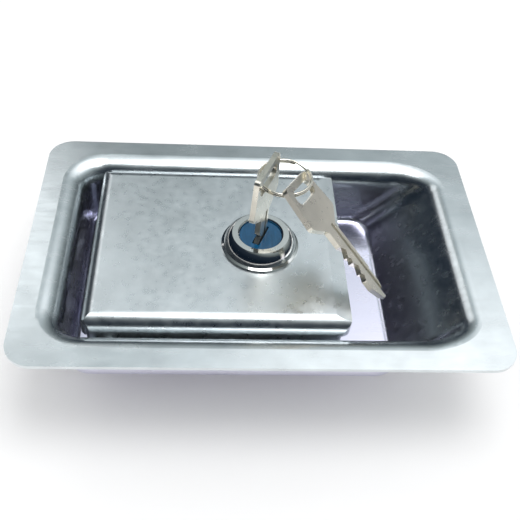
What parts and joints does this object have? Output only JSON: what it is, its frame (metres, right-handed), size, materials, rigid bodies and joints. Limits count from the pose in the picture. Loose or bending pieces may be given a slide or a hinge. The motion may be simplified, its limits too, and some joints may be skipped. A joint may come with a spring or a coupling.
{
  "type": "paddle latch",
  "caption": "Recessed paddle latch in pressed zinc-plated steel: folded lift paddle, keyed cam lock, slam bolt behind the tray, and keys on a split ring.",
  "frame": {"origin": "centre of the tray's rectangular flange, in the plane of its rear face, which seats on the panel", "axes": "+Z out of the panel towards the user, +X from the pivot end to the finger well, +Y across, towards the pivot pin's clip"},
  "size_m": [0.16, 0.108, 0.0741],
  "materials": {
    "zinc_sheet": "bright zinc plate, satin",
    "plain_steel": "plated, satin",
    "spring_steel": "drawn wire",
    "chrome_plate": "polished",
    "plug_metal": "die-cast zinc",
    "blue_plastic": "gloss",
    "brass": "stamped",
    "nickel_plate": "nickel plate, satin",
    "nickel_wire": "nickel plate, bright"
  },
  "bodies": {
    "housing": {"pan": "zinc_sheet", "bolt_bracket": "zinc_sheet", "bracket_rivets": "plain_steel", "pivot_pin": "plain_steel", "pivot_clip": "spring_steel", "bolt_spring": "spring_steel", "paddle_spring": "spring_steel"},
    "paddle": {"paddle": "zinc_sheet", "lever_arm": "zinc_sheet", "lock_housing": "chrome_plate", "lock_nut": "zinc_sheet", "lock_washer": "spring_steel"},
    "bolt": {"bolt": "zinc_sheet"},
    "plug": {"plug": "plug_metal", "plug_face": "blue_plastic", "wafers": "brass", "cam": "zinc_sheet", "cam_washer": "plain_steel", "cam_screw": "plain_steel"},
    "key": {"key": "nickel_plate"},
    "key_ring": {"key_ring": "nickel_wire"},
    "spare_key": {"spare_key": "nickel_plate"}
  },
  "joints": [
    {"name": "paddle_lift", "type": "hinge", "parent": "housing", "child": "paddle", "pos_m": [-0.05, 0, -0.0092], "axis": [0, -1, 0], "range_deg": [0, 38], "stiffness_Nm_per_rad": 0.15, "springref_deg": -20.05, "deforming": ["paddle_spring"]},
    {"name": "bolt_retract", "type": "slide", "parent": "housing", "child": "bolt", "axis": [1, 0, 0], "range_m": [0, 0.01367], "stiffness_N_per_m": 300, "springref_m": -0.006, "deforming": ["bolt_spring"]},
    {"name": "key_turn", "type": "hinge", "parent": "paddle", "child": "plug", "pos_m": [-0.00055, -0.0021, 0], "axis": [0, 0, 1], "range_deg": [-90, 0]},
    {"name": "key_withdraw", "type": "slide", "parent": "plug", "child": "key", "axis": [0.0239, 0.0562, 0.9981], "range_m": [0, 0.022]},
    {"name": "ring_swing", "type": "hinge", "parent": "key", "child": "key_ring", "pos_m": [-0.00116, -0.00353, 0.02986], "axis": [-0.3907, -0.9205, 0], "range_deg": [0, 6]},
    {"name": "spare_key_swing", "type": "hinge", "parent": "key_ring", "child": "spare_key", "pos_m": [0.01044, -0.00624, 0.02986], "axis": [-0.0667, -0.9978, 0], "range_deg": [0, 2]}
  ],
  "couplings": [
    {"joint": "bolt_retract", "follows": "paddle_lift", "m_per_rad": 0.02061}
  ]
}
